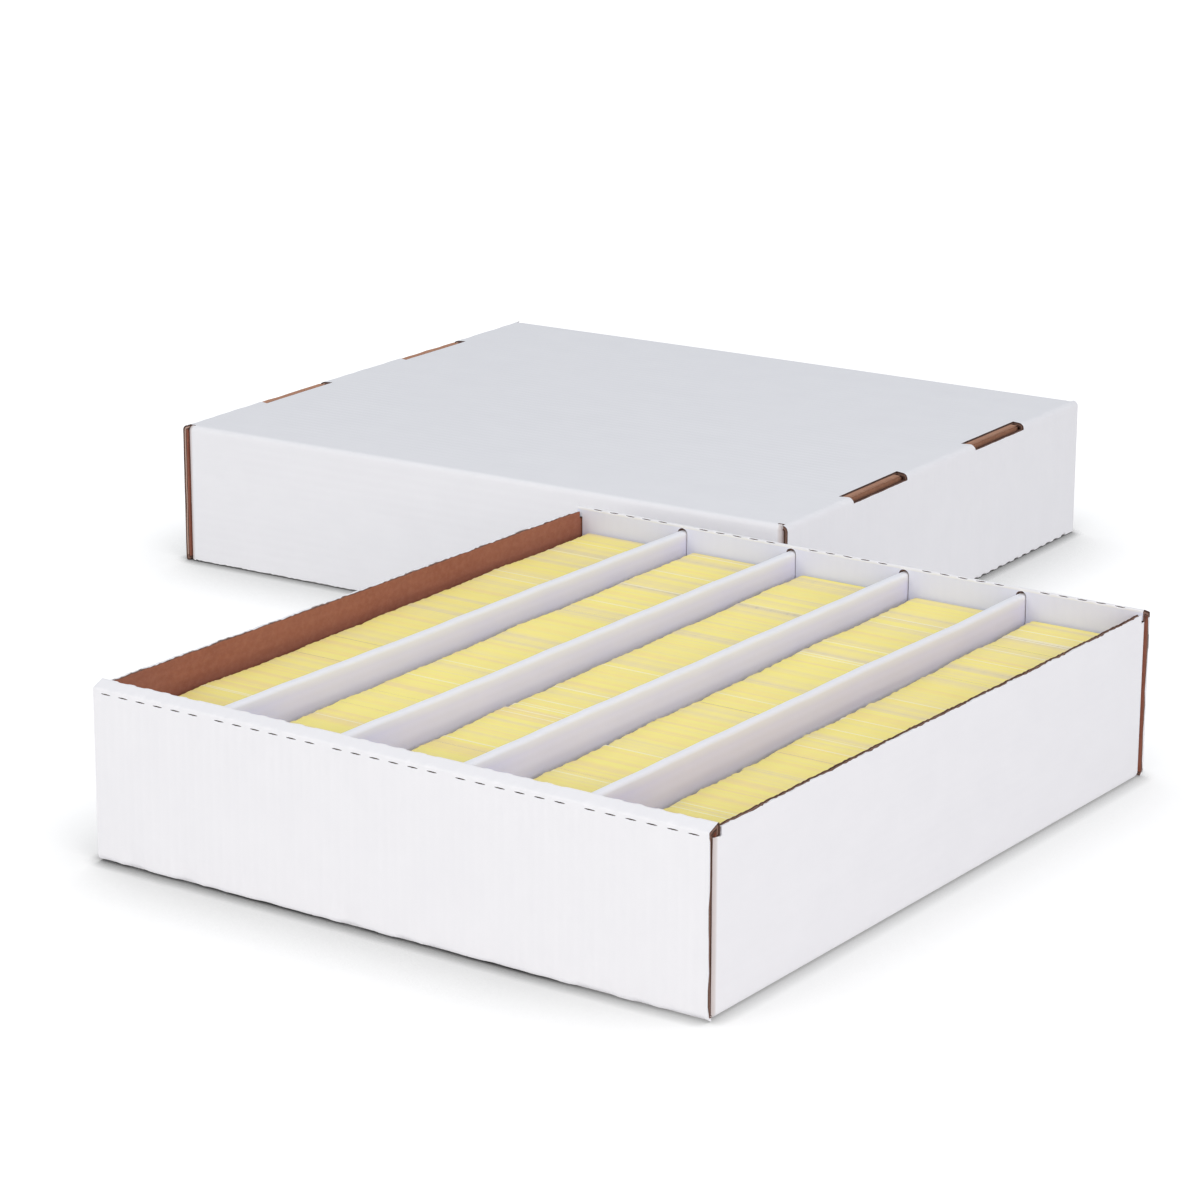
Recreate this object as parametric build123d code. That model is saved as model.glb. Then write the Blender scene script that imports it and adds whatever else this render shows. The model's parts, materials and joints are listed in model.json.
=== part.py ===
from build123d import *
import math
import os

# A card storage box in corrugated board: an open tray with five rows of cards, and its lift-off lid.
# Origin: centre of the tray's underside. +X runs across the rows, +Y along them, +Z up.
# All lengths are in millimetres, all angles in degrees.

# Board
board = 3.0               # thickness of the corrugated board
crease = 1.0              # inside radius of a crease between two panels
fold_round = 1.4          # outside rounding of a perforated fold
roll_play = 0.3           # slack inside a rolled end, between its three layers
panel_play = 0.5          # gap between a tucked flap and the panels above and below it

# Rows and cards
rows = 5
row_width = 76.0          # clear width between two dividers
row_length = 459.4        # clear length between the inner end walls
card_width = 63.5
card_height = 88.9
card_corner = 3.2         # corner radius of a card
card_leans = [25.0, 24.5, 26.5, 27.5, 29.0]  # the cards of each row lean back from upright by this angle
card_shift = -1.2         # the cards stand left of the row's middle by this much
card_play = 0.3           # gap between the end cards and the end walls
packet_shares = [5, 3, 4, 6, 3, 5]
packet_jogs = [0.7, -0.9, 0.2, -0.4, 1.0, -0.6]

# Divider insert
pleat_gap = 0.3           # slit between the two layers of a divider
insert_play = 0.3         # gap between the insert and the tray's walls
divider_drop = 1.5        # the dividers' tops lie this far below the side walls' tops
slot_side_play = 0.3      # gap on each side of a divider in its slot
slot_top_play = 1.5       # gap above a divider in its slot
tongue_rise = 3.0         # the dividers' tongues start this far above their bottom bends

# Tray
tray_side_height = 103.5
tray_fold_drop = 1.0      # the rolled ends' outer creases lie this far below the side walls' tops
tray_fold_rise = 4.0      # their inner creases stand this much higher than the outer ones
tray_tab_width = 60.0
flap_length = 82.0        # corner flaps, from the outer corner
flap_chamfer = 12.0

# Lid
lid_depth = 100.0
lid_side_drop = 0.5       # the single walls stop this far short of the rims
lid_end_slack = 1.5       # gap to the closed tray at each rolled end
lid_side_slack = 3.0      # gap to the closed tray at each single wall
lid_tab_width = 74.0
lid_tab_offset = 87.0     # locking tabs, from the middle of the rolled end

# Locking slots
slot_end_play = 3.0       # gap at each end of a locking tab
slot_chamfer = 3.0
slot_outer_inset = 1.5    # from the outer face of the rolled end to the slot
slot_inner_play = 0.7     # from the inner wall to the slot's inner edge
tab_recess = 0.4          # the tabs' ends lie this far inside the base panel's outer face
tab_chamfer = 2.0

# Where the lid stands: on its rims behind the tray, a quarter turn round from its closed position
lid_x = -336.0
lid_y = 489.0
lid_turn = 92.0

# Sizes that follow
bend = crease + board
roll = 3 * board + roll_play
corner_round = roll + insert_play - board
divider_thickness = 2 * board + pleat_gap
row_pitch = row_width + divider_thickness
insert_width = rows * row_width + (rows - 1) * divider_thickness
tray_width = insert_width + 2 * insert_play + 2 * board
tray_length = row_length + 2 * roll
row_floor_top = 2 * board
tray_fold_height = tray_side_height - tray_fold_drop
divider_top = tray_side_height - divider_drop
divider_places = [(i - (rows - 2) / 2) * row_pitch for i in range(rows - 1)]
row_places = [(i - (rows - 1) / 2) * row_pitch for i in range(rows)]
lid_width = tray_width + 2 * lid_side_slack + 2 * board
lid_length = tray_length + 2 * lid_end_slack + 2 * roll


class Blank:
    """One sheet set up as a roll-end tray: base panel at z = 0, rolled ends at +Y and -Y."""

    def __init__(self, length, width, side_height, fold_height, fold_rise, tab_width, tab_offset, slots):
        self.length = length
        self.width = width
        self.side_height = side_height
        self.fold_height = fold_height
        self.fold_rise = fold_rise
        self.tab_width = tab_width
        self.tab_places = [-tab_offset, tab_offset]
        self.slots = slots
        slope = math.atan2(fold_rise, roll)
        self.outer_miter = board * math.cos(slope) / (1 + math.sin(slope))
        self.inner_miter = board * math.cos(slope) / (1 - math.sin(slope))
        self.flap_top = fold_height - self.outer_miter - panel_play


def block(x, y, z):
    """A box from its limits along X, Y and Z."""
    size = [high - low for low, high in (x, y, z)]
    middle = [(high + low) / 2 for low, high in (x, y, z)]
    return Pos(*middle) * Box(*size)


def quarter_ring(radius):
    """The section of a right-angled bend, centred on the origin, in the quadrant of +X and +Y."""
    ring = Circle(radius) - Circle(radius - board)
    return ring & Pos(radius / 2, radius / 2) * Rectangle(radius, radius)


def polygon(points):
    return make_face(Polyline(*points, close=True))


def along_x(section, low, high):
    """Sweep a section drawn as (y, z) along X."""
    return Pos(low, 0, 0) * extrude(Plane.YZ * section, high - low)


def along_y(section, low, high):
    """Sweep a section drawn as (x, z) along Y."""
    return Pos(0, high, 0) * extrude(Plane.XZ * section, high - low)


# Panels of a blank, drawn for the +Y end and the +X side

def rolled_section(blank):
    """Section of a rolled end: up outside, over the top and down inside, as (y, z)."""
    outer = blank.length / 2
    inner = outer - roll
    low_fold = blank.fold_height
    high_fold = blank.fold_height + blank.fold_rise
    outside = FilletPolyline(
        (outer, bend), (outer, low_fold), (inner, high_fold), (inner, board), radius=fold_round
    )
    inside = Polyline(
        (inner, board),
        (inner + board, board),
        (inner + board, high_fold - blank.inner_miter),
        (outer - board, low_fold - blank.outer_miter),
        (outer - board, bend),
        (outer, bend),
    )
    return make_face(outside + inside)


def outer_wall_cut(blank):
    """Everything outside the mitre of the outer crease."""
    face = blank.length / 2
    top = blank.fold_height
    return polygon([
        (face - board, 0),
        (face - board, top - blank.outer_miter),
        (face + board, top + blank.outer_miter),
        (face + board, 0),
    ])


def inner_wall_cut(blank):
    """Everything inside the mitre of the inner crease."""
    face = blank.length / 2 - roll
    top = blank.fold_height + blank.fold_rise
    return polygon([
        (face + board, 0),
        (face + board, top - blank.inner_miter),
        (face - board, top + blank.inner_miter),
        (face - board, 0),
    ])


def locking_slots(blank):
    """Cutters for the slots that take the inner wall's locking tabs."""
    outer = blank.length / 2 - slot_outer_inset
    inner = blank.length / 2 - roll - slot_inner_play
    half = blank.tab_width / 2 + slot_end_play
    outline = polygon([
        (-half, inner),
        (half, inner),
        (half - slot_chamfer, outer),
        (slot_chamfer - half, outer),
    ])
    cutter = Pos(0, 0, -board) * extrude(outline, bend + 2 * board)
    return [Pos(x, 0, 0) * cutter for x in blank.tab_places]


def divider_slots(blank):
    """Cutters for the slots, open at the wall's lower edge, that straddle the dividers."""
    half = divider_thickness / 2 + slot_side_play
    top = divider_top + slot_top_play
    inner = blank.length / 2 - roll - board
    outer = blank.length / 2 - board
    section = Pos(0, (top - half) / 2) * Rectangle(2 * half, top - half)
    section += Pos(0, top - half) * Circle(half)
    cutter = along_y(section, inner, outer)
    return [Pos(x, 0, 0) * cutter for x in blank.slots]


def base_panel(blank):
    half_width = blank.width / 2 - bend
    half_length = blank.length / 2 - bend
    panel = block((-half_width, half_width), (-half_length, half_length), (0, board))
    for slot in locking_slots(blank):
        panel -= slot
        panel -= mirror(slot, about=Plane.XZ)
    return panel


def side_wall(blank):
    face = blank.width / 2
    reach = blank.length / 2 - corner_round - board
    section = Pos(face - board / 2, (blank.side_height + bend) / 2) * Rectangle(
        board, blank.side_height - bend
    )
    section += Pos(face - bend, bend) * Rot(0, 0, -90) * quarter_ring(bend)
    return along_y(section, -reach, reach)


def outer_wall(blank):
    face = blank.length / 2
    half = blank.width / 2
    wall = along_x(rolled_section(blank) & outer_wall_cut(blank), -half, half)
    bottom = Pos(face - bend, bend) * Rot(0, 0, -90) * quarter_ring(bend)
    wall += along_x(bottom, bend - half, half - bend)
    for low in (-half, half - bend):
        wall += block((low, low + bend), (face - board, face), (panel_play, bend))
    for slot in locking_slots(blank):
        wall -= slot
    return wall


def top_fold(blank):
    half = blank.width / 2
    section = rolled_section(blank) - outer_wall_cut(blank) - inner_wall_cut(blank)
    fold = along_x(section, -half, half)
    for slot in divider_slots(blank):
        fold -= slot
    return fold


def locking_tab(blank):
    """A tab that hangs from the inner wall's lower edge into the base panel, round x = 0."""
    half = blank.tab_width / 2
    inner = blank.length / 2 - roll
    outline = polygon([
        (-half, board),
        (half, board),
        (half, tab_recess + tab_chamfer),
        (half - tab_chamfer, tab_recess),
        (tab_chamfer - half, tab_recess),
        (-half, tab_recess + tab_chamfer),
    ])
    return along_y(outline, inner, inner + board)


def inner_wall(blank):
    half = blank.width / 2 - corner_round + roll_play + panel_play
    wall = along_x(rolled_section(blank) & inner_wall_cut(blank), -half, half)
    for slot in divider_slots(blank):
        wall -= slot
    for x in blank.tab_places:
        wall += Pos(x, 0, 0) * locking_tab(blank)
    return wall


def corner_flap(blank):
    """The flap at the +X, +Y corner, with the upright bend that joins it to the side wall."""
    outer = blank.width / 2
    face = blank.length / 2 - board
    plan = Pos(outer - corner_round, face - corner_round) * quarter_ring(corner_round)
    low, high = outer - flap_length, outer - corner_round
    plan += Pos((low + high) / 2, face - board / 2) * Rectangle(high - low, board)
    bottom = bend + panel_play
    flap = Pos(0, 0, bottom) * extrude(plan, blank.flap_top - bottom)
    for z, up in ((bottom, 1), (blank.flap_top, -1)):
        corner = polygon([
            (low - 1, z - up),
            (low + flap_chamfer, z - up),
            (low + flap_chamfer, z),
            (low, z + up * flap_chamfer),
            (low - 1, z + up * flap_chamfer),
        ])
        flap -= along_y(corner, face - 2 * board, face + board)
    return flap


def set_up(blank, prefix, base_name, fold_name, front, back, left, right):
    """All panels of a set-up blank by name. The last four words name its ends and sides."""
    end = {back: lambda piece: piece, front: lambda piece: mirror(piece, about=Plane.XZ)}
    side = {right: lambda piece: piece, left: lambda piece: mirror(piece, about=Plane.YZ)}
    pieces = {f"{prefix}_{base_name}": base_panel(blank)}
    for side_name, to_side in side.items():
        pieces[f"{prefix}_{side_name}_wall"] = to_side(side_wall(blank))
    for end_name, to_end in end.items():
        pieces[f"{prefix}_{end_name}_outer_wall"] = to_end(outer_wall(blank))
        pieces[f"{prefix}_{end_name}_{fold_name}"] = to_end(top_fold(blank))
        pieces[f"{prefix}_{end_name}_inner_wall"] = to_end(inner_wall(blank))
        for side_name, to_side in side.items():
            flap = to_side(to_end(corner_flap(blank)))
            pieces[f"{prefix}_corner_flap_{end_name}_{side_name}"] = flap
    return pieces


# Divider insert

def divider_section(low, high, with_bends):
    """Section of a pleat as (x, z): two layers joined at the top, with bends out at the foot."""
    half = divider_thickness / 2
    section = Pos(0, (low + high - half) / 2) * Rectangle(2 * half, high - half - low)
    section += Pos(0, high - half) * Circle(half)
    slit_top = high - board
    section -= Pos(0, (low + slit_top) / 2) * Rectangle(pleat_gap, slit_top - low)
    if with_bends:
        section += Pos(half + crease, low) * Rot(0, 0, 180) * quarter_ring(bend)
        section += Pos(-half - crease, low) * Rot(0, 0, -90) * quarter_ring(bend)
    return section


def divider():
    foot = row_floor_top + crease
    half_length = row_length / 2 - insert_play
    pleat = along_y(divider_section(foot, divider_top, True), -half_length, half_length)
    tongue = divider_section(foot + tongue_rise, divider_top, False)
    reach = row_length / 2 + board
    pleat += along_y(tongue, half_length, reach)
    pleat += along_y(tongue, -reach, -half_length)
    return pleat


def row_floor(number):
    """The floor panel of a row, clear of the creases along its two sides."""
    middle = row_places[number]
    half_width = row_width / 2 - crease
    half_length = row_length / 2 - insert_play
    return block(
        (middle - half_width, middle + half_width), (-half_length, half_length), (board, row_floor_top)
    )


# Cards

def card_packets(number):
    """One row of leaning cards, as packets that stand one behind the other."""
    lean = math.radians(card_leans[number % len(card_leans)])
    run = card_height * math.sin(lean)
    start = card_play - row_length / 2
    room = row_length - 2 * card_play - run
    face = Plane(origin=(0, 0, 0), x_dir=(1, 0, 0), z_dir=(0, -math.cos(lean), math.sin(lean)))
    outline = face * Pos(0, card_height / 2) * RectangleRounded(card_width, card_height, card_corner)
    packets = []
    for place in range(len(packet_shares)):
        turn = (place + number) % len(packet_shares)
        depth = room * packet_shares[turn] / sum(packet_shares)
        middle = row_places[number] + card_shift + packet_jogs[turn]
        packet = extrude(outline, depth, dir=(0, 1, 0))
        packets.append(Pos(middle, start, row_floor_top) * packet)
        start += depth
    return packets


# The whole box

def tray_pieces():
    tray = Blank(
        length=tray_length,
        width=tray_width,
        side_height=tray_side_height,
        fold_height=tray_fold_height,
        fold_rise=tray_fold_rise,
        tab_width=tray_tab_width,
        tab_offset=row_pitch,
        slots=divider_places,
    )
    return set_up(tray, "tray", "floor", "top_fold", "front", "back", "left", "right")


def lid_pieces():
    """The lid, set up like a tray, turned over and stood where the photographed lid stands."""
    lid = Blank(
        length=lid_length,
        width=lid_width,
        side_height=lid_depth - lid_side_drop,
        fold_height=lid_depth,
        fold_rise=0,
        tab_width=lid_tab_width,
        tab_offset=lid_tab_offset,
        slots=[],
    )
    place = Location((lid_x, lid_y, lid_depth), (0, 0, lid_turn)) * Rot(0, 180, 0)
    pieces = set_up(lid, "lid", "top", "rim", "right", "left", "back", "front")
    return {name: place * piece for name, piece in pieces.items()}


def insert_pieces():
    pieces = {}
    for number, x in enumerate(divider_places):
        pieces[f"divider_{number + 1}"] = Pos(x, 0, 0) * divider()
    for number in range(rows):
        pieces[f"row_floor_{number + 1}"] = row_floor(number)
    return pieces


def card_pieces():
    return {f"cards_row_{number + 1}": Compound(card_packets(number)) for number in range(rows)}


os.makedirs("parts", exist_ok=True)
for pieces in (tray_pieces(), insert_pieces(), lid_pieces(), card_pieces()):
    for name, piece in pieces.items():
        export_step(piece, f"parts/{name}.step")
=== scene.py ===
import json
import math
import random

import bmesh
import bpy
import numpy as np
from mathutils import Matrix, Vector, kdtree
from mathutils.geometry import delaunay_2d_cdt

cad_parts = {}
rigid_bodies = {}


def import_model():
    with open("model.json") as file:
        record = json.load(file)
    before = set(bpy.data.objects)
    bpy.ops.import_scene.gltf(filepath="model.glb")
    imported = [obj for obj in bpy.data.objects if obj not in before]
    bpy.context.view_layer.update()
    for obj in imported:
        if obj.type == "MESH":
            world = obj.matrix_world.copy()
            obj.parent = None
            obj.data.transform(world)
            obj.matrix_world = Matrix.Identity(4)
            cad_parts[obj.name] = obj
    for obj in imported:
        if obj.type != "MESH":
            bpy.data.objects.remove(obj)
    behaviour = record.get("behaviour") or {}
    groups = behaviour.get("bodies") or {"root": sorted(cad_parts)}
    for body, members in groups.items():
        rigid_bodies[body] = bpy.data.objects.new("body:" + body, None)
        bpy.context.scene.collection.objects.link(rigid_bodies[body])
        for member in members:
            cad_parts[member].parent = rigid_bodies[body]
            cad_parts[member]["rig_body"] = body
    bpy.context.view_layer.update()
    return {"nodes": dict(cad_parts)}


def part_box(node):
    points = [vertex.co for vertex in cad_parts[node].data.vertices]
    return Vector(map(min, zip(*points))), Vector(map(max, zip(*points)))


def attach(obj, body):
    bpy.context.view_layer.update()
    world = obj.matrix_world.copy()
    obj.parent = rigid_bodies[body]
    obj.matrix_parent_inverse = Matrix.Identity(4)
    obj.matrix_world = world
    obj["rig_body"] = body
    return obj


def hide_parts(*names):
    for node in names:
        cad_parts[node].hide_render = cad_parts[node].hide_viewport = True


# The looks of a card storage box in corrugated board: an open tray with five rows of cards, and its lid.
# Lengths in this script are millimetres, and become metres where a mesh is made. Angles are degrees.

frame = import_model()
MM = 0.001

# Board
board = 3.0               # thickness of the corrugated board
crease = 1.0              # inside radius of a crease
bend = crease + board     # outside radius of a crease
fold_round = 1.4          # outside rounding of a perforated fold
roll_play = 0.3           # slack in a rolled end
panel_play = 0.5          # between panels that pass one another
insert_play = 0.3         # between the insert and the walls round it
roll = 3 * board + roll_play            # a rolled end: outer wall, flap and inner wall
corner_round = roll + insert_play - board     # what the round of a corner takes from an inner wall
liner = 0.38              # thickness of the paper on each face of the board
flute_pitch = 6.4
cut_recess = 1.0          # how far the flutes stand back from a cut edge
cut_wobble = 0.16         # roughness of a cut edge
rough_wobble = 0.5        # and of the long top edges of the side walls
rolled_most = 0.53        # the liner is rolled over at most this share of the thickness
rolled_sway = 1.6         # and the share sways by this much of itself
flute_middle, flute_sway = 0.5, 0.10    # the cut flutes lie about here in the thickness, give or take
flute_half = 0.19         # half their thickness as a share
crushed_more = 0.1        # and what being crushed adds
flute_back, back_sway = 0.24, 0.16      # they stand back this far, give or take
crushed_out = 0.12        # and crushed ones come out this far
thinnest_gap = 0.04       # the gap between the liner and the flutes is no thinner than this share
bend_lift = 1.2           # how far the creases under the end walls rise off the ground in places
lift_mean, lift_sway = 0.35, 0.9        # the share of it along a crease
bend_lean = 0.35          # they step inwards by this share of it
lid_bend_share = 0.25     # the lid's creases rise less
lift_run = 1.2            # the lift sets in over this length
lift_bends = 2.2          # and is gone this many bends further up
tab_calm = 0.3            # beside a locking tab this share of it is left
calm_reach, calm_run = 4.0, 12.0     # up to this far from the tab, and it comes back over this length
bend_steps = 8            # the points round a bend, here under an end wall
side_steps = 10           # under a side wall
flap_steps = 12           # round a corner
pleat_steps = 8           # and at a divider's foot
outer_square = 8.0        # up to this far below a top fold, the outer wall's two faces are paired squarely
inner_square = 10.0       # and the inner wall's

# Perforated folds
dash_length = 7.0
dash_width = 0.7
dash_depth = 1.8
dash_pitch = 12.7
dash_drop = 2.5           # the tray's outer perforations run this far down its end walls
outer_fold_reach = 3.0    # a fold's own strip runs this far past the middle of its outer crease
inner_fold_reach = 1.7    # and of its inner crease
notch_flat = 2.2          # at a perforation the crease is drawn in over this half length
notch_run = 2.6           # and comes back out over this length
fold_drop = 1.0           # the tray's top folds start this far under the tops of its side walls
fold_rise = 4.0           # and rise this much inwards
fold_scallop = 0.8        # how deep a crease is drawn in
scallop_mean, scallop_sway = 0.8, 0.5   # the share of it from one perforation to the next
outer_scallop_share = 0.45    # the tray's outer creases are drawn in less

# Rows and cards
rows = 5
row_width = 76.0
row_length = 459.4
pleat_gap = 0.3           # between the two layers of a divider
row_pitch = row_width + 2 * board + pleat_gap
row_places = [(i - (rows - 1) / 2) * row_pitch for i in range(rows)]
divider_places = [(i - (rows - 2) / 2) * row_pitch for i in range(rows - 1)]
row_floor_top = 2 * board
divider_drop = 1.5        # a divider's top is this far below the tops of the side walls
tongue_rise = 3.0         # its tongues start this far above the bends at its foot
slot_side_play = 0.3      # the slot round a tongue is this much wider on each side
slot_top_play = 1.8       # and higher
crown_round = 2.1         # outside rounding of a divider's two top creases
crown_pinch = 0.2         # how much further down the kraft faces meet under its crown
divider_sway = 0.55       # a divider's top strays this far to a side
divider_crest = 0.25      # and up or down
divider_calm = 30.0       # but less within this reach of the end walls
card_width = 63.5
card_height = 88.9
card_corner = 3.2
card_leans = [25.0, 24.5, 26.5, 27.5, 29.0]  # the mean lean of each row's cards
lean_spread = 4.5         # the first cards lean this much more, and the last ones this much less
card_shift = -1.2         # the cards stand this far to one side of their row
card_play = 0.3           # left free at each end of a row
card_thickness = 0.34
card_half = card_thickness * 0.47    # half a card, with a hair of air to the next one
lean_play = 0.9           # how far a card's lean strays from the row's
lean_calm = 40.0          # but less within this reach of the row's first and last card
card_runs = (1, 1, 2, 2, 3, 3, 6)       # how many cards in a run are alike
tint_least, tint_most = 0.07, 0.93
white_odds, more_white = 0.004, 0.0015  # odds of a white card that stands out, and more in each next row
grey_odds = 0.0018        # odds of a grey card that lies deeper
white_card, grey_card = (1.2, 0.3), (-0.2, -1.3)    # their tint, and how far they rise over the others
card_waves = {            # wave lengths of a row's lean, of its edge, of its tints and of single cards
    "lean": (260, 148, 97), "slow": (143, 61, 33), "band": (71, 33, 14), "quick": (19, 11.3, 6.1),
}

# Locking slots and tabs
slot_outer_inset = 1.5    # the tray's slots end this far inside its end walls, and the lid's run out to them
slot_inner_play = 0.7     # and this far inside the inner wall's face
slot_end_play = 3.0       # they are this much longer than their tabs at each end
slot_chamfer = 3.0
tab_recess = 0.4          # the tabs stop this far short of the outer face of the base
tab_chamfer = 2.0
flap_length = 82.0        # a corner flap's reach along its end wall
flap_chamfer = 12.0
tab_spread = 3.7          # a locking tab's crushed end is this much thicker than the board
flap_round = 6.0          # outside radius of a corner flap's bend
flap_foot_step = 7        # at this step of the bend its foot rises over the ground
flap_top_step = 10        # and at this one its top
tray_tabs = (60.0, row_pitch)    # width of a locking tab, and its place from the middle
lid_tabs = (74.0, 87.0)
corner_notch = 10.5       # the tray's single walls are cut down this far from each end
corner_dip = 1.6          # to this far below the flaps' top edges
ear_rise = 0.6            # and the inner walls reach out over them from this much higher
tab_shift = 2.4           # the lid's tabs sit this far to one end of their slots
rolled_edge = 0.34        # share of the thickness over which a knife has rolled the white liner into the cut
bend_shade_reach = 2.4          # painted shade darkens a corner flap's liner from this far round its bend

# The lid, and where it stands
lid_end_play = 1.5        # its slack along the tray
lid_side_play = 3.0       # and across it
lid_side_drop = 0.5       # its side walls stop this far short of the ground
lid_x = -336.0
lid_y = 489.0
lid_turn = 92.0


def box_mm(node):
    low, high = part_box(node)
    return [c / MM for c in low], [c / MM for c in high]


def wave(seed, lengths):
    """A smooth random curve from a few sines, between about -1 and 1."""
    draw = random.Random(seed)
    parts = [(1 / length, draw.uniform(0, 2 * math.pi)) for length in lengths]

    def curve(s):
        return sum(np.sin(2 * math.pi * rate * s + phase) for rate, phase in parts) / len(parts)

    return curve


def running_length(points):
    """The length along a line of points, up to each of them."""
    return np.concatenate([[0], np.cumsum(np.hypot(*np.diff(points, axis=0).T))])


def mirrored(half):
    """An outline from its half on the side of -v, which ends where the other half begins."""
    return half + [(u, -v) for u, v in reversed(half)]


# Bent sections

def arc(centre, radius, start, end, steps):
    angles = np.radians(np.linspace(start, end, steps + 1))
    return [(centre[0] + radius * math.cos(a), centre[1] + radius * math.sin(a)) for a in angles]


def bent_arcs(centre, radius, start, end, steps):
    """The two faces of a bend of the board, white face first, when that one is outside."""
    return arc(centre, radius, start, end, steps), arc(centre, radius - board, start, end, steps)


class Profile:
    """The bent section of a sheet: pairs of points on its white face and its kraft face."""

    def __init__(self, white, kraft):
        self.white = np.array(white, float)
        self.kraft = np.array(kraft, float)
        self.u = running_length(self.white)

    def at(self, u, share):
        """Points at u along the white face, and at a share of the thickness below it."""
        faces = [
            np.stack([np.interp(u, self.u, face[:, axis]) for axis in (0, 1)], axis=1)
            for face in (self.white, self.kraft)
        ]
        return faces[0] + (faces[1] - faces[0]) * share[:, None]


def lines(*stretches):
    """Grid lines over stretches of (low, high, step), as one sorted array."""
    return apart(np.concatenate([
        np.linspace(a, b, max(1, round((b - a) / step)) + 1) for a, b, step in stretches
    ]))


def apart(values):
    """The values in order, without those that are as good as the one before."""
    values = np.sort(values)
    return values[np.concatenate([[True], np.diff(values) > 0.05])]


# Flat polygons

shortest = 0.12           # the shortest side that an outline is cut into
closest = 0.16            # how close a point of the grid may come to an outline
sharp_turn = 0.08         # sine of the turn from which a corner of the outline counts as sharp
longest_miter = 1.6       # how far a sharp corner may step in, for each millimetre off its sides


def inside(points, loops):
    """Which points lie inside the loops, by the even-odd rule."""
    x, y = points[:, :1], points[:, 1:]
    crossings = np.zeros(len(points), int)
    for a in loops:
        b = np.roll(a, -1, axis=0)
        rise = b[:, 1] - a[:, 1]
        rise = np.where(rise == 0, 1e-12, rise)
        spans = (a[:, 1] > y) != (b[:, 1] > y)
        reach = a[:, 0] + (y - a[:, 1]) / rise * (b[:, 0] - a[:, 0])
        crossings += (spans & (x < reach)).sum(axis=1)
    return crossings % 2 == 1


def resample(loop, u_lines, v_lines, step):
    """The loop with points added where it crosses a grid line, or else one for every step."""
    points = []
    loop = np.array(loop, float)
    for a, b in zip(loop, np.roll(loop, -1, axis=0)):
        length = math.hypot(*(b - a))
        count = math.ceil(length / step)
        crossed = []
        for axis, grid in ((0, u_lines), (1, v_lines)):
            if abs(b[axis] - a[axis]) > 1e-9:
                crossed += [t for t in (grid - a[axis]) / (b[axis] - a[axis]) if 0 < t < 1]
        kept = [0.0]
        for t in sorted(crossed) or [i / count for i in range(1, count)]:
            if (t - kept[-1]) * length > shortest and (1 - t) * length > shortest:
                kept.append(t)
        points += [a + (b - a) * t for t in kept]
    return np.array(points)


def on(values, line):
    """Which values lie on a line of the flat sheet."""
    return np.abs(values - line) < 0.01


def turned(loop, left):
    """The loop with the material on its left, if left, or else on its right."""
    x, y = loop[:, 0], loop[:, 1]
    area = (x * np.roll(y, -1) - np.roll(x, -1) * y).sum()
    return loop if (area > 0) == left else loop[::-1]


def inward(loop, joined):
    """At each point of the loop, the way into the material that steps 1 mm off each cut side."""
    ahead = np.roll(loop, -1, axis=0) - loop
    ahead /= np.maximum(np.hypot(ahead[:, 0], ahead[:, 1]), 1e-9)[:, None]
    normal = np.stack([-ahead[:, 1], ahead[:, 0]], axis=1)
    middle = (loop + np.roll(loop, -1, axis=0)) / 2
    cut = np.where(joined(middle[:, 0], middle[:, 1]), 0.0, 1.0)
    before, cut_before = np.roll(normal, 1, axis=0), np.roll(cut, 1)
    turn = before[:, 0] * normal[:, 1] - before[:, 1] * normal[:, 0]
    sharp = np.abs(turn) > sharp_turn
    safe = np.where(sharp, turn, 1.0)
    corner = np.stack([
        (cut_before * normal[:, 1] - cut * before[:, 1]) / safe,
        (cut * before[:, 0] - cut_before * normal[:, 0]) / safe,
    ], axis=1)
    plain = (before * cut_before[:, None] + normal * cut[:, None]) / 2
    way = np.where(sharp[:, None], corner, plain)
    size = np.maximum(np.hypot(way[:, 0], way[:, 1]), 1e-9)
    return way * np.minimum(1, longest_miter / size)[:, None], np.maximum(cut, cut_before)


# Sheets of board

WHITE, KRAFT, CUT, FLUTE = range(4)
weld = 2e-6               # points closer than this many metres become one


def warp(points):
    """A slight unevenness over the whole object, nothing at the ground."""
    x, y, z = points.T
    height = np.clip(z / 100, 0, 1.2)
    return points + np.stack([
        0.35 * np.sin(y / 83 + 0.6) * np.sin(x / 131 + 0.9) * height,
        0.30 * np.sin(x / 71 + 1.9) * np.cos(y / 149) * height,
        0.22 * np.sin(x / 97 + y / 61 + 0.4) * height,
    ], axis=1)


def band_rows(seed, along, closed, rolled):
    """The rows across a cut edge as (share of the thickness, inset): liner, gap, flute, gap, liner."""
    lip = liner / board
    first = lip * np.ones_like(along)
    if rolled:
        sway = rolled_sway * wave(seed + "roll", (97, 41, 23, 7.7))(along)
        first = np.clip(rolled * (1 + sway), lip, rolled_most)
    ridge = flute_middle + flute_sway * wave(seed + "ridge", (171, 63, 29))(along)
    back = flute_back + back_sway * wave(seed + "back", (37, 11, 5.3))(along)
    back = back * (1 - closed) - crushed_out * closed
    ones = np.ones_like(along)
    half = flute_half + crushed_more * closed
    deep = cut_recess * (1 - closed)
    low = np.maximum(ridge - half, first + thinnest_gap)
    return [
        (0 * ones, 0 * ones), (first, rolled * ones), (first, deep), (low, deep),
        (low, back), (ridge + half, back), (ridge + half, deep), ((1 - lip) * ones, deep),
        ((1 - lip) * ones, 0 * ones), (ones, 0 * ones),
    ], [WHITE if rolled else CUT, CUT, CUT, FLUTE, FLUTE, FLUTE, CUT, CUT, CUT]


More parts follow.
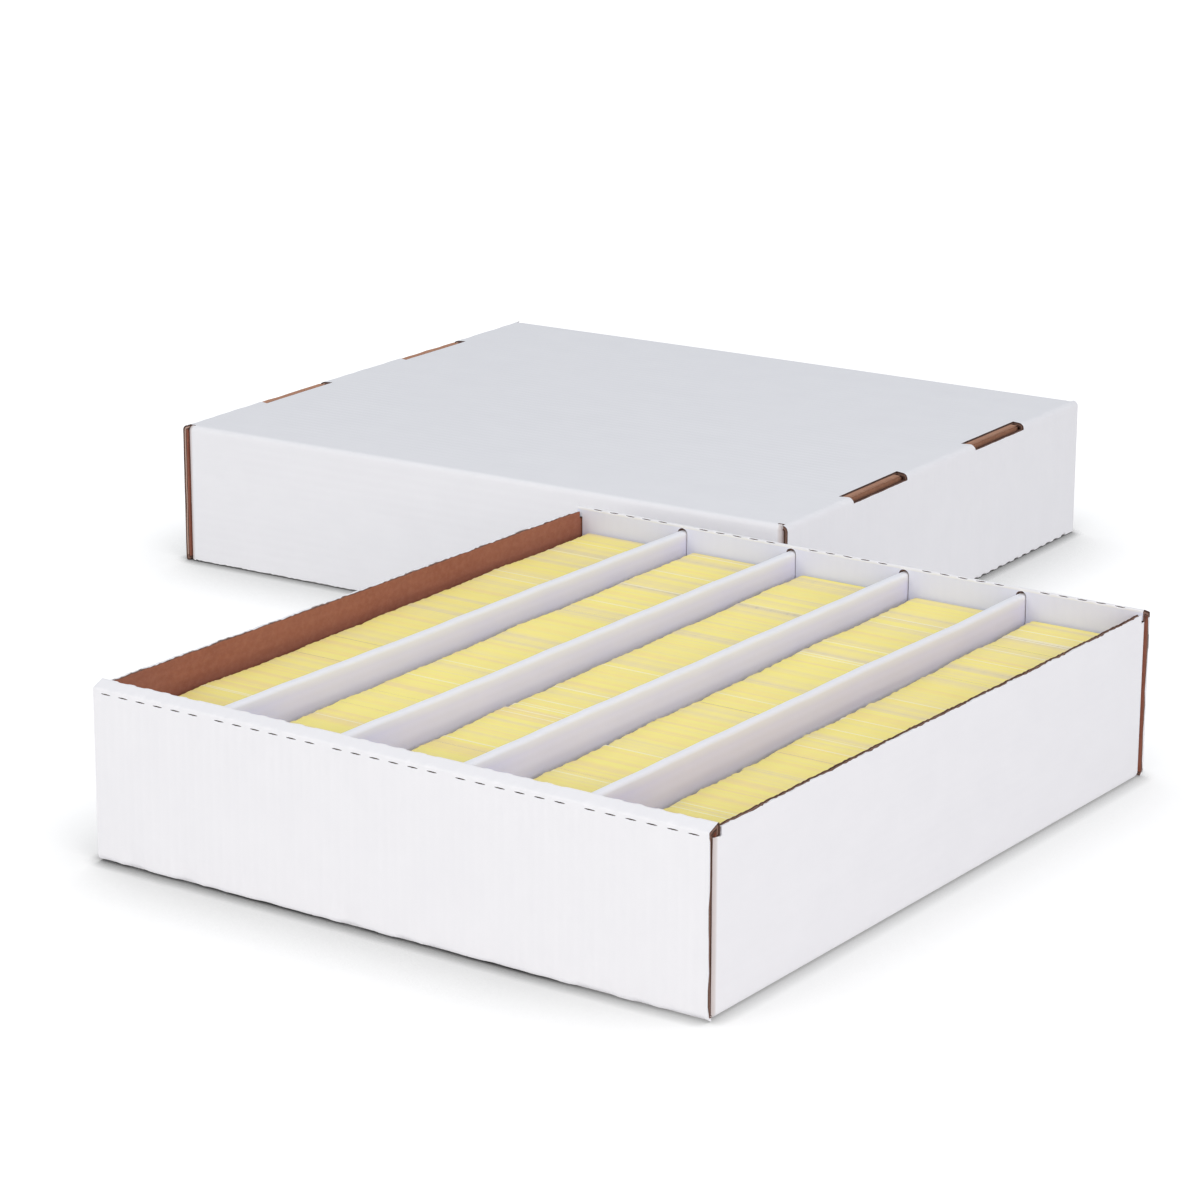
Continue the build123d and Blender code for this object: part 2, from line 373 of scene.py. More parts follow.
class Mesh:
    """Vertices and faces of one panel as they are gathered, from places (u, v) on its flat sheet."""

    def __init__(self, place, flute_column):
        self.place, self.flute_column = place, flute_column
        self.points, self.sheet, self.faces, self.materials, self.count = [], [], [], [], 0

    def add(self, flat, share):
        """Adds points at shares of the thickness, and gives the number of the first one."""
        first = self.count
        self.points.append(self.place(flat[:, 0], flat[:, 1], share))
        self.sheet.append(np.column_stack([flat, flat[:, self.flute_column]]))
        self.count += len(flat)
        return first

    def face(self, corners, material):
        self.faces.append(corners)
        self.materials.append(material)

    def band(self, upper, lower, materials):
        """A ring of faces between two rings of points."""
        for i, material in enumerate(materials):
            j = (i + 1) % len(materials)
            self.face([upper[j], upper[i], lower[i], lower[j]], material)


def sheet_mesh(
    node, place, outline, u_lines, v_lines, joined, step, flute_axis,
    rough=cut_wobble, rough_lengths=(23, 9.1, 4.7, 2.9), crushed=None, rolled=0.0, pits=(),
):
    """A closed mesh for one panel, drawn flat in (u, v) and put in space by place(u, v, share)."""
    rim = turned(resample(outline, u_lines, v_lines, step), True)
    way, cut = inward(rim, joined)
    along = running_length(rim)
    rim = rim + way * (rough * (1 + wave(node + "0", rough_lengths)(along)) * cut)[:, None]
    closed = crushed(rim[:, 0]) if crushed else np.zeros(len(rim))
    pits = [turned(np.array(pit, float), False) for pit in pits]
    walls = [rim, *pits]
    grid = np.array([(u, v) for u in u_lines for v in v_lines], float)
    grid = grid[inside(grid, walls)]
    near = kdtree.KDTree(sum(len(w) for w in walls))
    for index, point in enumerate(np.concatenate(walls)):
        near.insert((point[0], point[1], 0), index)
    near.balance()
    grid = [p for p in grid if near.find((p[0], p[1], 0))[2] > closest]
    flat = np.concatenate(walls + ([np.array(grid)] if len(grid) else []))
    edges, first = [], 0
    for loop in walls:
        size = len(loop)
        edges += [(first + i, first + (i + 1) % size) for i in range(size)]
        first += size
    found = delaunay_2d_cdt([Vector(p) for p in flat], edges, [], 0, 1e-5)
    flat = np.array([tuple(p) for p in found[0]])
    index_of = {}
    for index, originals in enumerate(found[3]):
        for original in originals:
            index_of[original] = index
    triangles = np.array(found[2])
    middles = flat[triangles].mean(axis=1)
    solid = inside(middles, [rim])
    in_pit = inside(middles, pits) if pits else np.zeros(len(middles), bool)
    mesh = Mesh(place, 1 if flute_axis == "v" else 0)
    top = mesh.add(flat, np.zeros(len(flat)))
    bottom = mesh.add(flat, np.ones(len(flat)))
    for corners in triangles[solid & ~in_pit]:
        mesh.face([top + c for c in corners], WHITE)
    for corners in triangles[solid]:
        mesh.face([bottom + c for c in reversed(corners)], KRAFT)
    rows, materials = band_rows(node, along, closed, rolled)
    ring = [index_of[i] for i in range(len(rim))]
    starts = [mesh.add(rim + way * inset[:, None], share) for share, inset in rows[1:-1]]
    bands = [[top + i for i in ring], *(range(s, s + len(rim)) for s in starts), [bottom + i for i in ring]]
    crushed_side = np.minimum(closed, np.roll(closed, -1)) > 0.5
    mesh.band(bands[0], bands[1], [materials[0]] * len(rim))
    for upper, lower, material in zip(bands[1:], bands[2:], materials[1:]):
        mesh.band(upper, lower, np.where(crushed_side, KRAFT, material).tolist())
    floor_of, first = {}, len(rim)
    for pit in pits:
        size = len(pit)
        ring = [index_of[first + i] for i in range(size)]
        first += size
        starts = [mesh.add(flat[ring], np.full(size, depth / board)) for depth in (liner, dash_depth)]
        bands = [[top + i for i in ring], *(range(s, s + size) for s in starts)]
        floor_of.update(zip(ring, bands[-1]))
        for upper, lower in zip(bands, bands[1:]):
            mesh.band(upper, lower, [CUT] * size)
    for corners in triangles[solid & in_pit]:
        mesh.face([floor_of[c] for c in corners], CUT)
    return mesh


def add_piece(name, data, materials, node, body):
    """A mesh as an object that takes the place of a CAD node."""
    for material in materials:
        data.materials.append(material)
    piece = bpy.data.objects.new(name, data)
    bpy.context.scene.collection.objects.link(piece)
    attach(piece, body)
    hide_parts(node)


def make_panel(node, place, materials, *drawing, **options):
    """One bent panel of board, drawn as sheet_mesh says."""
    mesh = sheet_mesh(node, place, *drawing, **options)
    data = bpy.data.meshes.new(node + "_board")
    data.from_pydata(warp(np.concatenate(mesh.points)) * MM, [], mesh.faces)
    data.polygons.foreach_set("material_index", mesh.materials)
    sheet = data.attributes.new("sheet", "FLOAT_VECTOR", "POINT")
    sheet.data.foreach_set("vector", np.concatenate(mesh.sheet).astype(np.float32).ravel())
    work = bmesh.new()
    work.from_mesh(data)
    bmesh.ops.remove_doubles(work, verts=work.verts, dist=weld)
    bmesh.ops.dissolve_degenerate(work, edges=work.edges, dist=weld)
    bmesh.ops.recalc_face_normals(work, faces=work.faces)
    work.to_mesh(data)
    work.free()
    smooth_faces(data, place)
    add_piece(node + "_board", data, materials, node, frame["nodes"][node]["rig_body"])


def values_of(rows, field, kind, width=1):
    """A field of all rows of a mesh, as an array."""
    values = np.zeros(len(rows) * width, kind)
    rows.foreach_get(field, values)
    return values.reshape(-1, width) if width > 1 else values


def smooth_faces(data, place):
    """Normals from the folded surface itself, so that two panels of one sheet meet without a seam."""
    u, v = values_of(data.attributes["sheet"].data, "vector", np.float32, 3).astype(float)[:, :2].T
    step = 0.04
    slopes = {}
    for material, depth in ((WHITE, 0.0), (KRAFT, 1.0)):
        share = np.full(len(u), depth)
        along = warp(place(u + step, v, share)) - warp(place(u - step, v, share))
        across = warp(place(u, v + step, share)) - warp(place(u, v - step, share))
        normal = np.cross(along, across)
        size = np.linalg.norm(normal, axis=1)
        slopes[material] = (normal / np.maximum(size, 1e-12)[:, None], size > 1e-7)
    corners = values_of(data.loops, "vertex_index", np.int32)
    starts, totals, kinds = (
        values_of(data.polygons, field, np.int32) for field in ("loop_start", "loop_total", "material_index")
    )
    flat = values_of(data.polygons, "normal", np.float32, 3).astype(float)
    order = np.argsort(starts, kind="stable")
    owner = np.repeat(order, totals[order])
    normals = flat[owner]
    for material, (normal, good) in slopes.items():
        here = (kinds[owner] == material) & good[corners]
        candidate = normal[corners]
        agree = (candidate * flat[owner]).sum(axis=1)
        candidate = candidate * np.sign(agree)[:, None]
        here &= np.abs(agree) > 0.5
        normals[here] = candidate[here]
    data.polygons.foreach_set("use_smooth", np.ones(len(data.polygons), bool))
    data.normals_split_custom_set(normals)


# The two blanks, drawn for the +Y end and the +X side of a blank that stands on its base panel

class Blank:
    """The sizes of a blank. Its rims are tucked in on the lid, and its top folds rise on the tray."""

    def __init__(self, prefix, sizes, rise, tucked, tabs, slots, world):
        self.prefix, self.rise, self.tucked, self.slots, self.world = prefix, rise, tucked, slots, world
        self.length, self.width, self.side_height, self.fold_height = sizes
        self.tab_width, self.tab_places = tabs[0], [-tabs[1], tabs[1]]
        self.slot_inset = 0.0 if tucked else slot_outer_inset
        self.rolled = 0.0 if tucked else rolled_edge
        slope = math.atan2(rise, roll)
        self.outer_miter = board * math.cos(slope) / (1 + math.sin(slope))
        self.inner_miter = board * math.cos(slope) / (1 - math.sin(slope))
        self.flap_top = self.fold_height - self.outer_miter - panel_play
        self.corner_top = self.side_height if tucked else self.flap_top - corner_dip
        play = roll_play + panel_play
        self.inner_half = self.width / 2 - (corner_round - play if tucked else board + play)
        self.make_profile(math.degrees(slope))

    def make_profile(self, slope):
        """The rolled end as (y, z): bottom bend, outer wall, top fold, inner wall."""
        outer, inner = self.length / 2, self.length / 2 - roll
        low, high = self.fold_height, self.fold_height + self.rise
        first = fold_round * math.tan(math.radians((90 - slope) / 2))
        second = fold_round * math.tan(math.radians((90 + slope) / 2))
        centre = (outer - bend, bend)
        steps = bend_steps
        white, kraft = bent_arcs(centre, bend, -90, 0, steps)
        white.append((outer, low - outer_square))
        kraft.append((outer - board, low - outer_square))
        outer_arc = arc((outer - fold_round, low - first), fold_round, 0, 90 - slope, steps)
        inner_arc = arc((inner + fold_round, high - second), fold_round, 90 - slope, 180, steps)
        white += outer_arc + inner_arc
        kraft += [(outer - board, low - self.outer_miter)] * len(outer_arc)
        kraft += [(inner + board, high - self.inner_miter)] * len(inner_arc)
        white += [(inner, high - inner_square), (inner, tab_recess)]
        kraft += [(inner + board, high - inner_square), (inner + board, tab_recess)]
        self.profile = Profile(white, kraft)
        u = self.profile.u
        self.u_bend = u[steps]
        self.outer_arc = (u[steps + 2], u[2 * steps + 2])
        self.inner_arc = (u[2 * steps + 3], u[3 * steps + 3])
        self.outer_apex = sum(self.outer_arc) / 2
        self.inner_apex = sum(self.inner_arc) / 2
        self.u_foot = u[-1]
        self.fold_from = self.outer_apex - outer_fold_reach
        self.fold_to = self.inner_apex + inner_fold_reach

    def u_at(self, z):
        """Where the inner wall's white face is at height z."""
        return self.u_foot - (z - tab_recess)

    def dashes(self, apex):
        """Middles of the perforations along a crease: six in each cell, or five on the inner crease."""
        if not self.slots:
            count = int(self.width / dash_pitch) - 1
            return [(i - (count - 1) / 2) * dash_pitch for i in range(count)]
        count = rows + 1 if apex == self.outer_apex else rows
        return [place + (i - (count - 1) / 2) * dash_pitch for place in row_places for i in range(count)]

    def set_down(self, across, along, up):
        """Points of the blank as it stands in the scene."""
        turn, shift = self.world
        return np.stack([across, along, up], axis=1) @ turn.T + shift

    def place_end(self, side):
        """Puts a point of the rolled end in space, with the folds drawn in at each perforation."""
        ways = []
        uneven_bend = wave(f"{self.prefix}{side}bend", (53, 31, 19))
        lifted = bend_lift * (lid_bend_share if self.tucked else 1)
        shallow = 1 if self.tucked else outer_scallop_share
        for apex, reach, depth in (
            (self.outer_apex, outer_fold_reach, fold_scallop * shallow),
            (self.inner_apex, inner_fold_reach, fold_scallop),
        ):
            ends = self.profile.at(np.array([apex, apex]), np.array([0.0, 1.0]))
            out = (ends[0] - ends[1]) / np.hypot(*(ends[0] - ends[1]))
            uneven = wave(f"{self.prefix}{side}{round(apex)}", (61, 27, 17))
            ways.append((apex, reach - 0.1, depth, out, np.array(self.dashes(apex)), uneven))

        def place(u, v, share):
            section = self.profile.at(u, share)
            hump = np.clip(u / lift_run, 0, 1) * np.clip(lift_bends - u / self.u_bend, 0, 1)
            beside = np.abs(v[:, None] - np.array(self.tab_places)[None, :]).min(axis=1) - self.tab_width / 2
            hump = hump * np.clip(tab_calm + (beside - calm_reach) / calm_run, tab_calm, 1)
            lift = lifted * hump * np.clip(lift_mean + lift_sway * uneven_bend(v), 0, 1)
            section[:, 0] -= bend_lean * lift
            section[:, 1] += lift
            spread = np.clip((u - self.u_at(board)) / (board - tab_recess), 0, 1)
            section[:, 0] += tab_spread * spread ** 2 * share
            for apex, reach, depth, out, dashes, uneven in ways:
                close = np.clip(1 - np.abs(u - apex) / reach, 0, 1)
                near = np.flatnonzero(close)
                if len(near):
                    gap = np.abs(v[near, None] - dashes[None, :]).min(axis=1)
                    notch = np.clip(1 - (gap - notch_flat) / notch_run, 0, 1)
                    notch = depth * notch * notch * (3 - 2 * notch)
                    notch = notch * (scallop_mean + scallop_sway * uneven(v[near]))
                    hill = np.sin(close[near] * math.pi / 2) ** 2
                    section[near] -= out * (notch * hill * (1 - share[near]))[:, None]
            return self.set_down(v, side * section[:, 0], section[:, 1])

        return place

    def place_side(self, side):
        face = self.width / 2
        white, kraft = bent_arcs((face - bend, bend), bend, -90, 0, side_steps)
        profile = Profile(white + [(face, self.side_height)], kraft + [(face - board, self.side_height)])

        def place(u, v, share):
            section = profile.at(u, share)
            return self.set_down(side * section[:, 0], v, section[:, 1])

        return place, profile

    def place_flap(self, side, end):
        """The corner flap in plan: round the corner from the side wall, then along the end wall."""
        outer, face = self.width / 2, self.length / 2 - board
        white, kraft = bent_arcs((outer - flap_round, face - flap_round), flap_round, 0, 90, flap_steps)
        end_at = outer - flap_length
        profile = Profile(white + [(end_at, face)], kraft + [(end_at, face - board)])

        def place(u, v, share):
            section = profile.at(u, share)
            out = (profile.at(u, np.zeros_like(u)) - profile.at(u, np.ones_like(u))) / board
            # Near the ground the flap draws in, to stay inside the round of the end wall's bend.
            tuck = bend - np.sqrt(bend ** 2 - np.clip(bend - v, 0, bend) ** 2)
            section = section - out * tuck[:, None]
            return self.set_down(side * section[:, 0], end * section[:, 1], v)

        return place, profile

    def place_base(self, u, v, share):
        return self.set_down(u, v, board * share)

    # Outlines in (u, v)

    def slot_reach(self):
        """How far a locking slot runs up the bottom bend, along its white face."""
        return bend * math.asin((bend - self.slot_inset) / bend)

    def slot_half(self, y):
        """Half a locking slot's length at y from the middle of the blank."""
        far, near = self.length / 2 - self.slot_inset, self.length / 2 - roll - slot_inner_play
        return self.tab_width / 2 + slot_end_play - slot_chamfer * (y - near) / (far - near)

    def outer_wall(self):
        half = self.width / 2
        free = half - bend
        edge = self.slot_half(self.length / 2 - bend)
        tip = self.slot_half(self.length / 2 - self.slot_inset)
        outline = [(0, -half), (self.fold_from, -half), (self.fold_from, half), (0, half), (0, free)]
        for x in reversed(self.tab_places):
            reach = self.slot_reach()
            outline += [(0, x + edge), (reach, x + tip), (reach, x - tip), (0, x - edge)]
        outline += [(0, -free)]

        return outline, lambda u, v: on(u, 0) & (np.abs(v) < free + 0.01) | on(u, self.fold_from)

    def inner_wall(self):
        half = self.inner_half
        foot = self.u_at(board)
        outline = [(self.fold_to, half), (self.fold_to, -half), (foot, -half)]
        if not self.tucked:
            ear, low = self.width / 2, self.u_at(self.flap_top - corner_dip + ear_rise)
            outline = [
                (low, half), (low, ear), (self.fold_to, ear), (self.fold_to, -ear), (low, -ear),
                (low, -half), (foot, -half),
            ]
        stops = [(x, "tab") for x in self.tab_places] + [(x, "slot") for x in self.slots]
        for x, kind in sorted(stops):
            if kind == "tab":
                x += tab_shift if self.tucked else 0
                wide = self.tab_width / 2
                short = wide - tab_chamfer
                outline += [(foot, x - wide), (self.u_foot - tab_chamfer, x - wide), (self.u_foot, x - short)]
                outline += [(self.u_foot, x + short), (self.u_foot - tab_chamfer, x + wide), (foot, x + wide)]
            else:
                wide = board + pleat_gap / 2 + slot_side_play
                top = self.side_height - divider_drop + slot_top_play
                middle = self.u_at(top - wide)
                outline.append((foot, x - wide))
                for angle in np.radians(np.linspace(-90, 90, 15)):
                    outline.append((middle - wide * math.cos(angle), x + wide * math.sin(angle)))
                outline.append((foot, x + wide))
        outline.append((foot, half))

        return outline, lambda u, v: on(u, self.fold_to)

    def base(self):
        half_u, half_v = self.width / 2 - bend, self.length / 2 - bend
        inner = self.length / 2 - roll - slot_inner_play
        outline = []
        for end in (-1, 1):
            outline.append((end * half_u, end * half_v))
            order = self.tab_places if end < 0 else self.tab_places[::-1]
            for x in order:
                wide, narrow = self.slot_half(inner), self.slot_half(half_v)
                notch = [(x - narrow, half_v), (x - wide, inner), (x + wide, inner), (x + narrow, half_v)]
                notch = notch if end < 0 else notch[::-1]
                outline += [(a, end * b) for a, b in notch]
            outline.append((-end * half_u, end * half_v))

        return outline, lambda u, v: on(np.abs(u), half_u) | on(np.abs(v), half_v)


def lens(u, v):
    """The outline of one perforation, pointed at both ends."""
    turns = np.radians(np.arange(0, 360, 22.5))
    return [
        (u + dash_width / 2 * math.sin(t) * abs(math.sin(t)) ** 0.2, v + dash_length / 2 * math.cos(t))
        for t in turns
    ]


def make_blank(blank, names, papers_of):
    """All panels of one blank. names gives its base, fold, ends and sides their words."""
    outline, joined = blank.base()
    half_u, half_v = blank.width / 2 - bend, blank.length / 2 - bend
    make_panel(
        f"{blank.prefix}_{names['base']}", blank.place_base, papers_of["board"], outline,
        lines((-half_u, half_u, 14)), lines((-half_v, half_v, 14)), joined, 6, "u",
    )
    sides = (names["plus_x"], 1), (names["minus_x"], -1)
    for side_name, side in sides:
        make_side(blank, side_name, side, papers_of["board"])
    for end_name, end in (names["plus_y"], 1), (names["minus_y"], -1):
        make_end(blank, end_name, end, names["fold"], papers_of)
        for side_name, side in sides:
            make_flap(blank, end_name, end, side_name, side, papers_of["flap"])


def make_side(blank, side_name, side, papers):
    """A single wall. Over its low ends, if it has any, the corner flaps show."""
    place, profile = blank.place_side(side)
    reach = blank.length / 2 - flap_round - board
    top = profile.u[-1]
    open_from = top - (blank.side_height - blank.corner_top)
    outline = [(0, -reach), (top, -reach)]
    if open_from < top:
        short = blank.length / 2 - corner_notch
        outline[1:] = [(open_from, -reach), (open_from, -short), (top, -short)]
    bent = profile.u[:side_steps + 1]
    u_lines = np.concatenate([bent, lines((bent[-1] + 8, top - 1.5, 9)), [top]])
    make_panel(
        f"{blank.prefix}_{side_name}_wall", place, papers, mirrored(outline), u_lines,
        lines((-reach, reach, 2.4)), lambda u, v: on(u, 0) | on(np.abs(v), reach) & (u < open_from),
        3, "u", rough_wobble, (37, 13, 6.7, 5.1), rolled=blank.rolled,
    )


def make_end(blank, end_name, end, fold_name, papers_of):
    """A rolled end: its outer wall, its top fold and its inner wall."""
    place = blank.place_end(end)
    half, start, stop = blank.width / 2, blank.fold_from, blank.fold_to
    prefix = f"{blank.prefix}_{end_name}"

    outline, joined = blank.outer_wall()
    bends = blank.profile.u[:bend_steps + 1]
    u_lines = np.concatenate([bends, lines((bends[-1] + 5, start - 2, 9)), [start]])
    # the lid's left outer wall takes a lit copy of the flute tones: painted light
    make_panel(
        f"{prefix}_outer_wall", place, papers_of["pale" if end_name == "left" else "board"], outline,
        u_lines, lines((-half, half, 4)), joined, 3, "v", rolled=blank.rolled,
    )

    inner_half = blank.inner_half if blank.tucked else half + 1
    outline = [(start, -half), (stop, -half)]
    if blank.tucked:
        turn = blank.outer_arc[1] + board - fold_round
        outline[1:] = [(turn, -half), (turn, -inner_half), (stop, -inner_half)]
    in_arcs = [u for u in blank.profile.u if start < u < stop]
    u_lines = lines((start, blank.outer_arc[0], 0.8), (blank.outer_arc[1], blank.inner_arc[0], 0.9))
    u_lines = apart(np.concatenate([u_lines, in_arcs, lines((blank.inner_arc[1], stop, 0.8))]))
    limit = (inner_half if blank.tucked else half) - dash_length
    drop = 0 if blank.tucked else dash_drop
    pits = [
        lens(apex - down, v) for apex, down in ((blank.outer_apex, drop), (blank.inner_apex, 0))
        for v in blank.dashes(apex) if abs(v) < limit
    ]
    make_panel(
        f"{prefix}_{fold_name}", place, papers_of["board"], mirrored(outline), u_lines,
        lines((-half, half, dash_pitch / 9)),
        lambda u, v: on(u, start) | on(u, stop) & (np.abs(v) < inner_half), 3, "v", pits=pits,
    )

    outline, joined = blank.inner_wall()
    foot = blank.u_at(board)
    u_lines = lines((stop, foot, 7), (foot, blank.u_foot, 1.5))
    make_panel(
        f"{prefix}_inner_wall", place, papers_of["inner"], outline, u_lines, lines((-half, half, 8)),
        joined, 2, "v", crushed=lambda u: np.clip((u - foot - 0.2) / 1.2, 0, 1),
    )


def make_flap(blank, end_name, end, side_name, side, papers):
    """A corner flap, which the side wall carries and the end wall hides."""
    place, profile = blank.place_flap(side, end)
    low, high, reach = bend + panel_play, blank.flap_top, profile.u[-1]
    foot_turn, top_turn = profile.u[flap_foot_step], profile.u[flap_top_step]
    curl = [bend * (1 - math.cos(math.radians(angle))) for angle in range(10, 100, 10)]
    outline = [
        (0, curl[0]), (foot_turn, curl[0]), (foot_turn, low), (reach - flap_chamfer, low),
        (reach, low + flap_chamfer), (reach, high - flap_chamfer), (reach - flap_chamfer, high),
        (top_turn, high), (top_turn, blank.corner_top), (0, blank.corner_top),
    ]
    bent = profile.u[:flap_steps + 1]
    make_panel(
        f"{blank.prefix}_corner_flap_{end_name}_{side_name}", place, papers, outline,
        np.concatenate([bent, lines((bent[-1] + 8, reach, 9))]),
        np.concatenate([curl, [low], lines((low + 5, high, 8))]), lambda u, v: on(u, 0), 3, "v",
    )


# Divider insert

def divider_profile(top):
    """The bent section of a divider as (across, height): foot, face, crown, face, foot."""
    half = board + pleat_gap / 2
    foot = row_floor_top + crease
    left = arc((-half - crease, foot), crease, -90, 0, pleat_steps)
    crown = arc((crown_round - half, top - crown_round), crown_round, 180, 90, 10)
    crown += arc((half - crown_round, top - crown_round), crown_round, 90, 0, 9)
    right = arc((half + crease, foot), crease, 180, 270, pleat_steps)
    kraft = arc((-half - crease, foot), bend, -90, 0, pleat_steps)
    last = len(crown) - 1
    kraft += [(-pleat_gap / 2 + pleat_gap * i / last, top - board - crown_pinch) for i in range(last + 1)]
    kraft += arc((half + crease, foot), bend, 180, 270, pleat_steps)
    return Profile(left + crown + right, kraft)


def make_divider(number, top, materials):
    x = divider_places[number]
    profile = divider_profile(top)
    foot = row_floor_top + crease
    length, reach = row_length / 2 - insert_play, row_length / 2 + board
    first, end = profile.u[pleat_steps], profile.u[-1]
    tongue_low, tongue_high = first + tongue_rise, end - (first + tongue_rise)
    sway = wave(f"sway{number}", (310, 173))
    crest = wave(f"crest{number}", (190, 83, 41))

    def place(u, v, share):
        section = profile.at(u, share)
        height = np.clip((section[:, 1] - foot) / (top - foot), 0, 1)
        fade = height * np.clip((reach - np.abs(v)) / divider_calm, 0, 1)
        across = section[:, 0] + divider_sway * sway(v) * fade
        up = section[:, 1] + divider_crest * crest(v) * fade
        return np.stack([x + across, v, up], axis=1)

    outline = mirrored([
        (0, -length), (tongue_low, -length), (tongue_low, -reach), (tongue_high, -reach),
        (tongue_high, -length), (end, -length),
    ])
    left, crown, right = np.split(profile.u, [pleat_steps + 1, -pleat_steps - 1])
    u_lines = np.concatenate([
        left, lines((first + 6, crown[0] - 3, 9)), crown, lines((crown[-1] + 3, end - first - 6, 9)), right,
    ])
    make_panel(
        f"divider_{number + 1}", place, materials, outline, u_lines, lines((-length, length, 6)),
        lambda u, v: on(u, 0) | on(u, end), 3, "u",
    )


def make_row_floor(number, materials):
    middle, half = row_places[number], row_width / 2 - crease
    length = row_length / 2 - insert_play

    def place(u, v, share):
        return np.stack([middle + u, v, row_floor_top - board * share], axis=1)

    outline = mirrored([(-half, -length), (half, -length)])
    make_panel(
        f"row_floor_{number + 1}", place, materials, outline, lines((-half, half, 12)),
        lines((-length, length, 12)), lambda u, v: on(np.abs(u), half), 4, "u",
    )


# Cards

def card_outline():
    """A card as (across, up from the foot): round corners at the top, and cut ones at the foot."""
    x, low, high = card_width / 2 - card_corner, card_corner, card_height - card_corner
    points = []
    for centre, start, steps in (
        ((x, high), 0, 4), ((-x, high), 90, 4), ((-x, low), 180, 1), ((x, low), 270, 1),
    ):
        points += arc(centre, card_corner, start, start + 90, steps)
    return np.array(points)


def make_cards(number, stock):
    """A row of single cards that lean back on one another."""
    draw = random.Random(f"cards{number}")
    outline = card_outline()
    size = len(outline)
    lean_wave, slow, band, quick = (wave(f"{word}{number}", lengths) for word, lengths in card_waves.items())
    lean, spread = math.radians(card_leans[number]), math.radians(lean_spread)
    foot = card_play - row_length / 2
    room = row_length - 2 * card_play - card_height * math.sin(lean - 0.8 * spread)
    count = int(room * math.cos(lean) / card_thickness) - 1
    pitch = room / count
    points, faces, tints, coordinates = [], [], [], []
    run_tint, run_left, run_jog = 0.5, 0, 0.0
    for index in range(count):
        y = foot + pitch * (index + 0.5)
        if run_left == 0:   # a run of cards that share a tint and a place across the row
            run_left = draw.choice(card_runs)
            run_tint = draw.random()
            run_jog = draw.uniform(-1, 1) * (0.35 + 0.15 * number)
        run_left -= 1
        # painted shade: the tint falls towards the back end of the row, so the cards there are duller and
        # darker
        tint = 0.33 + 0.36 * band(y) + 0.3 * run_tint - 0.16 * y / (row_length / 2) + 0.12 * draw.random()
        tint = min(tint_most, max(tint_least, tint))
        rise = draw.uniform(0, 0.25) + 0.2 * quick(y)
        odd = draw.random()
        if odd < white_odds + more_white * number:
            tint, rise = white_card[0], rise + white_card[1]
        elif odd > 1 - grey_odds:
            tint, rise = grey_card[0], rise + grey_card[1]
        jog = card_shift + 0.7 * slow(y) + 0.4 * quick(y + 40) + run_jog + draw.uniform(-0.25, 0.25)
        fade = max(0, min(1, (y - foot) / lean_calm, (foot + room - y) / lean_calm))
        along_row = (y - foot) / room
        angle = lean + spread * (1 - 2 * along_row) + math.radians(lean_play) * lean_wave(y) * fade
        along = np.array([0, math.sin(angle), math.cos(angle)])
        normal = np.array([0, -math.cos(angle), math.sin(angle)])
        base = np.array([row_places[number] + jog, y, row_floor_top + max(0, rise) * 0.6])
        plane = base + outline[:, :1] * np.array([1, 0, 0]) + outline[:, 1:] * along
        start = len(points) * size
        points += [plane + normal * card_half, plane - normal * card_half]
        front, back = range(start, start + size), range(start + size, start + 2 * size)
        faces += [list(front), list(back)[::-1]]
        faces += [[front[i], front[i - 1], back[i - 1], back[i]] for i in (*range(1, size), 0)]
        tints += [tint] * (2 * size)
        coordinates += [(a, b, 0) for a, b in outline] * 2
    name = f"cards_row_{number + 1}"
    data = bpy.data.meshes.new(name + "_stack")
    data.from_pydata(warp(np.concatenate(points)) * MM, [], faces)
    tint = data.attributes.new("tint", "FLOAT", "POINT")
    tint.data.foreach_set("value", np.array(tints, np.float32))
    card = data.attributes.new("card", "FLOAT_VECTOR", "POINT")
    card.data.foreach_set("vector", np.array(coordinates, np.float32).ravel())
    add_piece(name + "_stack", data, [stock], name, name)


# Materials

flute_wash = 0.000035     # bump heights, in metres
kraft_wash = 0.00005
fibre_bump = 0.00003
kraft_fibre_bump = 0.00006
grain_bump = 0.0001
cut_grain = 2.3           # noise scales, to the millimetre
flute_grain = 1.7

# Pairs of tones that a mottle mixes
outer_white = (0.840, 0.832, 0.858, 1), (0.880, 0.872, 0.895, 1)
# painted shade: the same white liner on the inner walls, darker and bluer
shaded_inner_white = (0.775, 0.79, 0.92, 1), (0.81, 0.825, 0.955, 1)
# painted shade: the cooler, darker white of the divider faces and row floors
insert_shade_white = (0.755, 0.745, 0.925, 1), (0.795, 0.785, 0.96, 1)
# painted shade: the darker, pinkish white of a corner flap past the start of its bend
bend_shade_white = (0.69, 0.635, 0.625, 1), (0.72, 0.665, 0.655, 1)
# the cut edges' own brown, darkened further as painted shade
cut_tones = (0.075, 0.040, 0.032, 1), (0.20, 0.115, 0.088, 1)
# the flutes' own brown, darkened further as painted shade in their recess
flute_tones = (0.13, 0.068, 0.052, 1), (0.33, 0.20, 0.155, 1)
# painted light: a lit copy of the flute tones, for the lid's left outer wall
lit_flute_tones = (0.36, 0.225, 0.175, 1), (0.58, 0.41, 0.34, 1)

white_fibre = (0.70, 0.70, 0.73, 1)
kraft_tones = (0.300, 0.103, 0.065), (0.41, 0.150, 0.097), (0.205, 0.070, 0.046), (0.48, 0.215, 0.146)
kraft_lift = (1, 1, 1)
# painted light: a paler copy of the kraft for the lid's inner walls, whose tabs show in the slots
lit_kraft_lift = (1.35, 1.8, 1.75)
crown_reach = 9.0         # a divider's liner is whiter within this reach of its top, as painted light above the painted shade of its faces
# painted light on a divider's crown
lit_crown_white = (0.88, 0.88, 0.925, 1)
